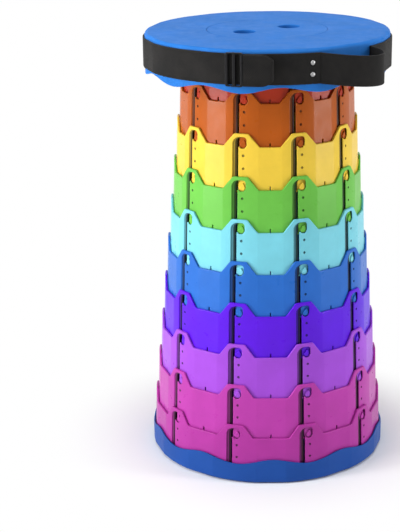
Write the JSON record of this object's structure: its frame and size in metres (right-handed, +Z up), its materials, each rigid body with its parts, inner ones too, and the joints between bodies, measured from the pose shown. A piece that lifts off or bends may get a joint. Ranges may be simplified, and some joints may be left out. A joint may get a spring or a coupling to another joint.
{
  "type": "collapsible telescopic stool",
  "caption": "Round plastic stool that telescopes: nested rings with hooked slots rise from a base cover to a seat cover, with a webbing carry strap round the seat rim.",
  "frame": {"origin": "centre of the base's underside, on the floor plane", "axes": "+Z up along the telescoping axis; the slider of the strap is at the front, -Y, and the carry handle at the front right"},
  "size_m": [0.2538, 0.2621, 0.45],
  "materials": {
    "seat_shell_plastic": "satin blue moulded plastic",
    "base_shell_plastic": "satin blue moulded plastic",
    "tier_red": "gloss moulded plastic",
    "tier_orange": "gloss moulded plastic",
    "tier_yellow": "gloss moulded plastic",
    "tier_green": "gloss moulded plastic",
    "tier_cyan": "gloss moulded plastic",
    "tier_blue": "gloss moulded plastic",
    "tier_purple": "gloss moulded plastic",
    "tier_orchid": "gloss moulded plastic",
    "tier_magenta": "gloss moulded plastic",
    "tier_pink": "gloss moulded plastic",
    "webbing": "woven black webbing",
    "buckle_plastic": "black moulded plastic",
    "rivet_metal": "bright plated",
    "screw_steel": "zinc plated"
  },
  "bodies": {
    "base": {"base_cover": "base_shell_plastic", "base_center_cap": "base_shell_plastic", "tier_10_pink": "tier_pink"},
    "tier_9": {"tier_09_magenta": "tier_magenta"},
    "tier_8": {"tier_08_orchid": "tier_orchid"},
    "tier_7": {"tier_07_purple": "tier_purple"},
    "tier_6": {"tier_06_blue": "tier_blue"},
    "tier_5": {"tier_05_cyan": "tier_cyan"},
    "tier_4": {"tier_04_green": "tier_green"},
    "tier_3": {"tier_03_yellow": "tier_yellow"},
    "tier_2": {"tier_02_orange": "tier_orange"},
    "seat": {"seat_cover": "seat_shell_plastic", "seat_center_cap": "seat_shell_plastic", "tier_01_red": "tier_red", "strap_band": "webbing", "seat_screw_1": "screw_steel", "seat_screw_2": "screw_steel", "seat_screw_3": "screw_steel", "seat_screw_4": "screw_steel", "seat_screw_5": "screw_steel", "strap_rivet_1": "rivet_metal", "strap_rivet_2": "rivet_metal", "strap_rivet_3": "rivet_metal", "strap_rivet_4": "rivet_metal"},
    "handle": {"strap_handle": "webbing"},
    "slider": {"strap_slider": "buckle_plastic", "strap_fold": "webbing"}
  },
  "joints": [
    {"name": "tier_9_slide", "type": "slide", "parent": "base", "child": "tier_9", "axis": [0, 0, -1], "range_m": [0, 0.0428]},
    {"name": "tier_8_slide", "type": "slide", "parent": "tier_9", "child": "tier_8", "axis": [0, 0, -1], "range_m": [0, 0.0428]},
    {"name": "tier_7_slide", "type": "slide", "parent": "tier_8", "child": "tier_7", "axis": [0, 0, -1], "range_m": [0, 0.0428]},
    {"name": "tier_6_slide", "type": "slide", "parent": "tier_7", "child": "tier_6", "axis": [0, 0, -1], "range_m": [0, 0.0428]},
    {"name": "tier_5_slide", "type": "slide", "parent": "tier_6", "child": "tier_5", "axis": [0, 0, -1], "range_m": [0, 0.0428]},
    {"name": "tier_4_slide", "type": "slide", "parent": "tier_5", "child": "tier_4", "axis": [0, 0, -1], "range_m": [0, 0.0428]},
    {"name": "tier_3_slide", "type": "slide", "parent": "tier_4", "child": "tier_3", "axis": [0, 0, -1], "range_m": [0, 0.0428]},
    {"name": "tier_2_slide", "type": "slide", "parent": "tier_3", "child": "tier_2", "axis": [0, 0, -1], "range_m": [0, 0.0428]},
    {"name": "seat_slide", "type": "slide", "parent": "tier_2", "child": "seat", "axis": [0, 0, -1], "range_m": [0, 0.0428]},
    {"name": "handle_swing", "type": "hinge", "parent": "seat", "child": "handle", "pos_m": [0.07699, -0.09508, 0.4462], "axis": [-0.7771, -0.6293, 0], "range_deg": [0, 40]},
    {"name": "slider_adjust", "type": "slide", "parent": "seat", "child": "slider", "axis": [0.9659, -0.2588, 0], "range_m": [-0.004, 0.006]}
  ]
}
